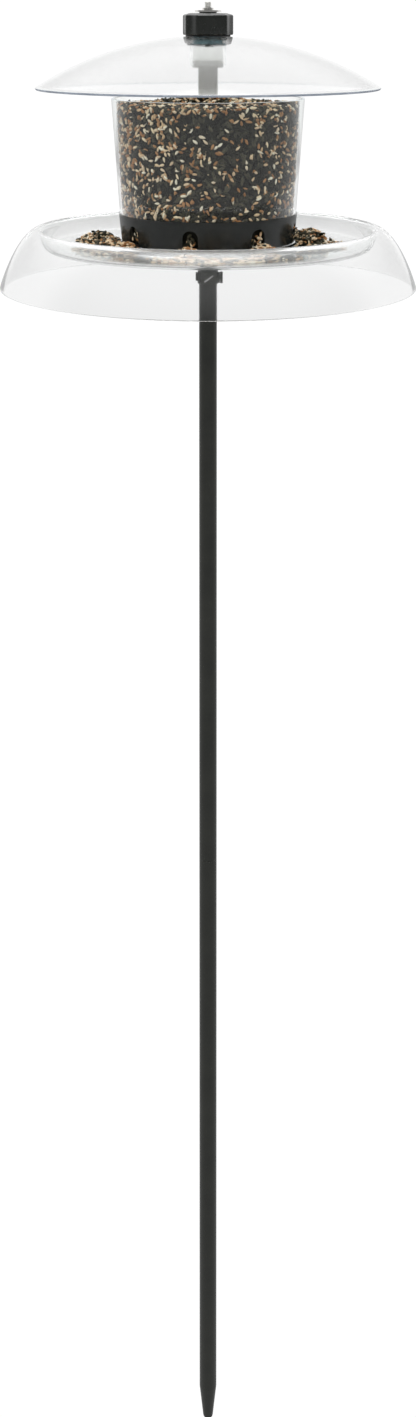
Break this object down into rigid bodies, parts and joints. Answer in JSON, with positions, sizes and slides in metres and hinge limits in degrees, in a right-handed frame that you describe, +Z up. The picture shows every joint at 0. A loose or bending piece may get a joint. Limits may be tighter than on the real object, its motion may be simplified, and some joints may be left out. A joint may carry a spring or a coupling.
{
  "type": "pole-mounted bird feeder",
  "caption": "Clear bird feeder with a domed roof and dished baffle tray on a slim two-piece ground pole, filled with mixed seed.",
  "frame": {"origin": "lowest point of the pole's rounded tip, on the pole's axis", "axes": "+Z up along the pole, -Y towards the front that the picture shows, +X towards the clamp screw's head"},
  "size_m": [0.384, 0.384, 1.3996],
  "materials": {
    "pole_enamel": "satin dark green-black enamel on steel tube",
    "clear_plastic": "clear, glossy",
    "black_plastic": "glossy black",
    "black_matte": "matt black",
    "clamp_black": "satin black casting",
    "bright_steel": "bright turned steel",
    "zinc_rod": "zinc-plated thread",
    "grey_tube": "satin grey tube",
    "pale_nylon": "off-white nylon",
    "black_rubber": "matt rubber",
    "seed": "loose mixed bird seed"
  },
  "bodies": {
    "ground_pole": {"pole_lower": "pole_enamel"},
    "upper_pole": {"pole_upper": "pole_enamel", "pole_plug": "black_matte"},
    "clamp": {"clamp_collar": "clamp_black", "collar_liner": "bright_steel"},
    "pad": {"clamp_pad": "pale_nylon"},
    "screw": {"clamp_screw": "clamp_black"},
    "head": {"pole_socket": "black_matte", "socket_gasket": "black_rubber", "tray": "clear_plastic", "port_base": "black_plastic", "seed_deflector": "black_matte", "hopper": "clear_plastic", "center_tube": "grey_tube", "tie_rod": "zinc_rod", "bottom_nut": "bright_steel", "bottom_washer": "bright_steel", "tube_collar": "grey_tube", "neck_bush": "pale_nylon", "seed_fill": "seed", "tray_seed": "seed"},
    "roof": {"roof": "clear_plastic", "neck_seal": "black_rubber"},
    "washer": {"knob_washer": "black_rubber"},
    "knob": {"roof_knob": "black_plastic", "knob_tee_nut": "bright_steel"}
  },
  "joints": [
    {"name": "upper_pole_slide", "type": "slide", "parent": "ground_pole", "child": "upper_pole", "axis": [0, 0, 1], "range_m": [0, 0.07]},
    {"name": "clamp_slide", "type": "slide", "parent": "upper_pole", "child": "clamp", "axis": [0, 0, 1], "range_m": [0, 0.06]},
    {"name": "pad_slide", "type": "slide", "parent": "clamp", "child": "pad", "axis": [1, 0, 0], "range_m": [0, 0.0014]},
    {"name": "screw_turn", "type": "hinge", "parent": "pad", "child": "screw", "pos_m": [0.0112, 0, 1.14585], "axis": [1, 0, 0], "range_deg": [0, 720]},
    {"name": "head_swivel", "type": "hinge", "parent": "clamp", "child": "head", "pos_m": [0, 0, 1.1532], "axis": [0, 0, 1], "continuous": true},
    {"name": "roof_lift", "type": "slide", "parent": "head", "child": "roof", "axis": [0, 0, 1], "range_m": [0, 0.12]},
    {"name": "washer_lift", "type": "slide", "parent": "roof", "child": "washer", "axis": [0, 0, 1], "range_m": [0, 0.0038]},
    {"name": "knob_turn", "type": "hinge", "parent": "washer", "child": "knob", "pos_m": [0, 0, 1.3692], "axis": [0, 0, 1], "range_deg": [0, 1080]}
  ],
  "couplings": [
    {"joint": "screw_turn", "follows": "pad_slide", "rad_per_m": 8976},
    {"joint": "knob_turn", "follows": "washer_lift", "rad_per_m": 4947.4}
  ]
}
